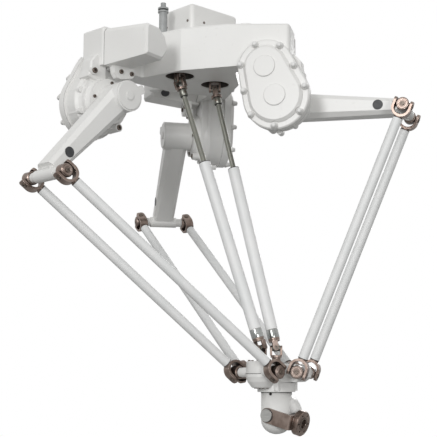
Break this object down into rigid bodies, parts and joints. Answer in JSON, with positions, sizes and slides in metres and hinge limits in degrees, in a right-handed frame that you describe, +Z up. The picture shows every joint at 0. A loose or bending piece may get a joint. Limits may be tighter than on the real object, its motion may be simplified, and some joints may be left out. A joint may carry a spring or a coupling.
{
  "type": "parallel robot",
  "caption": "Ceiling-hung parallel robot with parallelogram rods on cardan joints, telescopic drive shafts and a turning, tilting tool flange.",
  "frame": {"origin": "centre of the three ceiling pads, in the plane of their faces", "axes": "+Z up, out of the pads' faces; the level arm points 30 degrees to the right of the viewer, towards azimuth 330 degrees from +X"},
  "size_m": [1.2894, 1.0904, 1.4438],
  "materials": {
    "casting_paint": "white paint over a fine cast skin",
    "screw_paint": "white painted steel screw heads",
    "dark_screw": "dark brown coated steel screw heads",
    "rod_shell": "smooth white coated carbon tube",
    "bronze": "copper-brown coated joint parts",
    "shaft_steel": "ground steel",
    "dark_plastic": "dark matte plastic",
    "grey_plastic": "grey cable fitting"
  },
  "bodies": {
    "base": {"base_casting": "casting_paint", "top_box": "casting_paint", "cable_connector": "grey_plastic", "base_screws": "dark_screw", "stop_screws": "dark_screw", "stop_brackets": "casting_paint", "cap_screws": "screw_paint", "drive_yokes_up": "bronze", "gearbox_cover_a": "casting_paint", "gearbox_cover_b": "casting_paint", "gearbox_cover_c": "casting_paint", "motor_cover_a": "casting_paint", "motor_cover_b": "casting_paint", "motor_cover_c": "casting_paint"},
    "arm_a": {"arm_a": "casting_paint", "arm_plugs_a": "dark_plastic"},
    "arm_b": {"arm_b": "casting_paint", "arm_plugs_b": "dark_plastic"},
    "arm_c": {"arm_c": "casting_paint", "arm_plugs_c": "dark_plastic"},
    "rod_b1": {"rod_b1": "rod_shell", "forks_b1": "bronze", "blocks_b1": "bronze"},
    "rod_b2": {"rod_b2": "rod_shell", "forks_b2": "bronze", "blocks_b2": "bronze"},
    "block_up_a1": {"block_up_a1": "bronze"},
    "rod_a1": {"rod_a1": "rod_shell", "forks_a1": "bronze"},
    "block_low_a1": {"block_low_a1": "bronze"},
    "block_up_a2": {"block_up_a2": "bronze"},
    "rod_a2": {"rod_a2": "rod_shell", "forks_a2": "bronze"},
    "block_low_a2": {"block_low_a2": "bronze"},
    "block_up_c1": {"block_up_c1": "bronze"},
    "rod_c1": {"rod_c1": "rod_shell", "forks_c1": "bronze"},
    "block_low_c1": {"block_low_c1": "bronze"},
    "block_up_c2": {"block_up_c2": "bronze"},
    "rod_c2": {"rod_c2": "rod_shell", "forks_c2": "bronze"},
    "block_low_c2": {"block_low_c2": "bronze"},
    "platform": {"platform": "casting_paint", "platform_screws": "dark_screw", "drive_yokes_low": "bronze"},
    "wrist": {"wrist_body": "casting_paint"},
    "tilt": {"tool_bracket": "bronze", "tilt_shaft": "shaft_steel"},
    "drive_cross_up_1": {"drive_cross_up_1": "shaft_steel"},
    "drive_inner_1": {"drive_fork_up_1": "bronze", "drive_shaft_1": "shaft_steel"},
    "drive_cross_low_1": {"drive_cross_low_1": "shaft_steel"},
    "drive_tube_1": {"drive_fork_low_1": "bronze", "drive_tube_1": "rod_shell"},
    "drive_cross_up_2": {"drive_cross_up_2": "shaft_steel"},
    "drive_inner_2": {"drive_fork_up_2": "bronze", "drive_shaft_2": "shaft_steel"},
    "drive_cross_low_2": {"drive_cross_low_2": "shaft_steel"},
    "drive_tube_2": {"drive_fork_low_2": "bronze", "drive_tube_2": "rod_shell"}
  },
  "joints": [
    {"name": "arm_b_turn", "type": "hinge", "parent": "base", "child": "arm_b", "pos_m": [0.28146, -0.1625, -0.268], "axis": [-0.5, -0.866, 0], "range_deg": [-10, 10]},
    {"name": "rod_b1_turn", "type": "hinge", "parent": "arm_b", "child": "rod_b1", "pos_m": [0.66242, -0.27968, -0.30199], "axis": [-0.5, -0.866, 0], "range_deg": [-1.66, 1.66]},
    {"name": "rod_b2_turn", "type": "hinge", "parent": "arm_b", "child": "rod_b2", "pos_m": [0.57342, -0.43383, -0.30199], "axis": [-0.5, -0.866, 0], "range_deg": [-1.66, 1.66]},
    {"name": "arm_a_turn", "type": "hinge", "parent": "base", "child": "arm_a", "pos_m": [-0.28146, -0.1625, -0.268], "axis": [-0.5, 0.866, 0], "range_deg": [-9.9, 9.9]},
    {"name": "block_up_a1_turn", "type": "hinge", "parent": "arm_a", "child": "block_up_a1", "pos_m": [-0.46945, -0.3738, -0.5509], "axis": [-0.5, 0.866, 0], "range_deg": [-6.16, 6.16]},
    {"name": "rod_a1_swing", "type": "hinge", "parent": "block_up_a1", "child": "rod_a1", "pos_m": [-0.46945, -0.3738, -0.5509], "axis": [0.5815, 0.3357, 0.741], "range_deg": [-7.31, 7.31]},
    {"name": "block_low_a1_swing", "type": "hinge", "parent": "rod_a1", "child": "block_low_a1", "pos_m": [0.20754, -0.26121, -1.13314], "axis": [0.5815, 0.3357, 0.741], "range_deg": [-7.31, 7.31]},
    {"name": "block_up_a2_turn", "type": "hinge", "parent": "arm_a", "child": "block_up_a2", "pos_m": [-0.55845, -0.21965, -0.5509], "axis": [-0.5, 0.866, 0], "range_deg": [-6.16, 6.16]},
    {"name": "rod_a2_swing", "type": "hinge", "parent": "block_up_a2", "child": "rod_a2", "pos_m": [-0.55845, -0.21965, -0.5509], "axis": [0.5815, 0.3357, 0.741], "range_deg": [-7.31, 7.31]},
    {"name": "block_low_a2_swing", "type": "hinge", "parent": "rod_a2", "child": "block_low_a2", "pos_m": [0.11854, -0.10706, -1.13314], "axis": [0.5815, 0.3357, 0.741], "range_deg": [-7.31, 7.31]},
    {"name": "arm_c_turn", "type": "hinge", "parent": "base", "child": "arm_c", "pos_m": [0, 0.325, -0.268], "axis": [1, 0, 0], "range_deg": [-9.9, 9.9]},
    {"name": "block_up_c1_turn", "type": "hinge", "parent": "arm_c", "child": "block_up_c1", "pos_m": [-0.089, 0.59346, -0.5509], "axis": [1, 0, 0], "range_deg": [-6.16, 6.16]},
    {"name": "rod_c1_swing", "type": "hinge", "parent": "block_up_c1", "child": "rod_c1", "pos_m": [-0.089, 0.59346, -0.5509], "axis": [0, -0.6715, 0.741], "range_deg": [-7.31, 7.31]},
    {"name": "block_low_c1_swing", "type": "hinge", "parent": "rod_c1", "child": "block_low_c1", "pos_m": [0.15199, -0.04913, -1.13314], "axis": [0, -0.6715, 0.741], "range_deg": [-7.31, 7.31]},
    {"name": "block_up_c2_turn", "type": "hinge", "parent": "arm_c", "child": "block_up_c2", "pos_m": [0.089, 0.59346, -0.5509], "axis": [1, 0, 0], "range_deg": [-6.16, 6.16]},
    {"name": "rod_c2_swing", "type": "hinge", "parent": "block_up_c2", "child": "rod_c2", "pos_m": [0.089, 0.59346, -0.5509], "axis": [0, -0.6715, 0.741], "range_deg": [-7.31, 7.31]},
    {"name": "block_low_c2_swing", "type": "hinge", "parent": "rod_c2", "child": "block_low_c2", "pos_m": [0.32998, -0.04913, -1.13314], "axis": [0, -0.6715, 0.741], "range_deg": [-7.31, 7.31]},
    {"name": "platform_turn", "type": "hinge", "parent": "rod_b1", "child": "platform", "pos_m": [0.36343, -0.10706, -1.13314], "axis": [-0.5, -0.866, 0], "range_deg": [-8.44, 8.44]},
    {"name": "wrist_turn", "type": "hinge", "parent": "platform", "child": "wrist", "pos_m": [0.24099, -0.13913, -1.19514], "axis": [0, 0, 1], "continuous": true},
    {"name": "tool_tilt", "type": "hinge", "parent": "wrist", "child": "tilt", "pos_m": [0.24099, -0.13913, -1.26814], "axis": [-0.7431, -0.6691, 0], "range_deg": [-165, 15]},
    {"name": "drive_1_up_turn", "type": "hinge", "parent": "base", "child": "drive_cross_up_1", "pos_m": [-0.066, -0.059, -0.17], "axis": [0.788, 0.6157, 0], "range_deg": [-7.49, 7.49]},
    {"name": "drive_1_up_swing", "type": "hinge", "parent": "drive_cross_up_1", "child": "drive_inner_1", "pos_m": [-0.066, -0.059, -0.17], "axis": [-0.5938, 0.7601, -0.2639], "range_deg": [-2.83, 2.83]},
    {"name": "drive_1_low_turn", "type": "hinge", "parent": "platform", "child": "drive_cross_low_1", "pos_m": [0.18036, -0.17413, -1.05614], "axis": [0.788, 0.6157, 0], "range_deg": [-7.49, 7.49]},
    {"name": "drive_1_low_swing", "type": "hinge", "parent": "drive_cross_low_1", "child": "drive_tube_1", "pos_m": [0.18036, -0.17413, -1.05614], "axis": [-0.5938, 0.7601, -0.2639], "range_deg": [-2.83, 2.83]},
    {"name": "drive_2_up_turn", "type": "hinge", "parent": "base", "child": "drive_cross_up_2", "pos_m": [0.072, 0.016, -0.17], "axis": [0.9703, -0.2419, 0], "range_deg": [-2.43, 2.43]},
    {"name": "drive_2_up_swing", "type": "hinge", "parent": "drive_cross_up_2", "child": "drive_inner_2", "pos_m": [0.072, 0.016, -0.17], "axis": [0.2401, 0.963, -0.1228], "range_deg": [-7.72, 7.72]},
    {"name": "drive_2_low_turn", "type": "hinge", "parent": "platform", "child": "drive_cross_low_2", "pos_m": [0.24099, -0.13913, -1.05614], "axis": [0.9703, -0.2419, 0], "range_deg": [-2.43, 2.43]},
    {"name": "drive_2_low_swing", "type": "hinge", "parent": "drive_cross_low_2", "child": "drive_tube_2", "pos_m": [0.24099, -0.13913, -1.05614], "axis": [0.2401, 0.963, -0.1228], "range_deg": [-7.72, 7.72]}
  ],
  "couplings": [
    {"joint": "rod_b1_turn", "follows": "arm_b_turn", "ratio": -0.1609},
    {"joint": "rod_b2_turn", "follows": "arm_b_turn", "ratio": -0.1609},
    {"joint": "arm_a_turn", "follows": "arm_b_turn", "ratio": -0.9852},
    {"joint": "block_up_a1_turn", "follows": "arm_b_turn", "ratio": 0.61068},
    {"joint": "rod_a1_swing", "follows": "arm_b_turn", "ratio": -0.72627},
    {"joint": "block_low_a1_swing", "follows": "arm_b_turn", "ratio": 0.72627},
    {"joint": "block_up_a2_turn", "follows": "arm_b_turn", "ratio": 0.61068},
    {"joint": "rod_a2_swing", "follows": "arm_b_turn", "ratio": -0.72627},
    {"joint": "block_low_a2_swing", "follows": "arm_b_turn", "ratio": 0.72627},
    {"joint": "arm_c_turn", "follows": "arm_b_turn", "ratio": -0.9852},
    {"joint": "block_up_c1_turn", "follows": "arm_b_turn", "ratio": 0.61068},
    {"joint": "rod_c1_swing", "follows": "arm_b_turn", "ratio": 0.72627},
    {"joint": "block_low_c1_swing", "follows": "arm_b_turn", "ratio": -0.72627},
    {"joint": "block_up_c2_turn", "follows": "arm_b_turn", "ratio": 0.61068},
    {"joint": "rod_c2_swing", "follows": "arm_b_turn", "ratio": 0.72627},
    {"joint": "block_low_c2_swing", "follows": "arm_b_turn", "ratio": -0.72627},
    {"joint": "platform_turn", "follows": "arm_b_turn", "ratio": -0.8391},
    {"joint": "drive_1_up_turn", "follows": "arm_b_turn", "ratio": -0.74447},
    {"joint": "drive_1_up_swing", "follows": "arm_b_turn", "ratio": -0.27828},
    {"joint": "drive_1_low_turn", "follows": "arm_b_turn", "ratio": -0.74447},
    {"joint": "drive_1_low_swing", "follows": "arm_b_turn", "ratio": -0.27828},
    {"joint": "drive_2_up_turn", "follows": "arm_b_turn", "ratio": -0.23803},
    {"joint": "drive_2_up_swing", "follows": "arm_b_turn", "ratio": -0.76689},
    {"joint": "drive_2_low_turn", "follows": "arm_b_turn", "ratio": -0.23803},
    {"joint": "drive_2_low_swing", "follows": "arm_b_turn", "ratio": -0.76689}
  ]
}
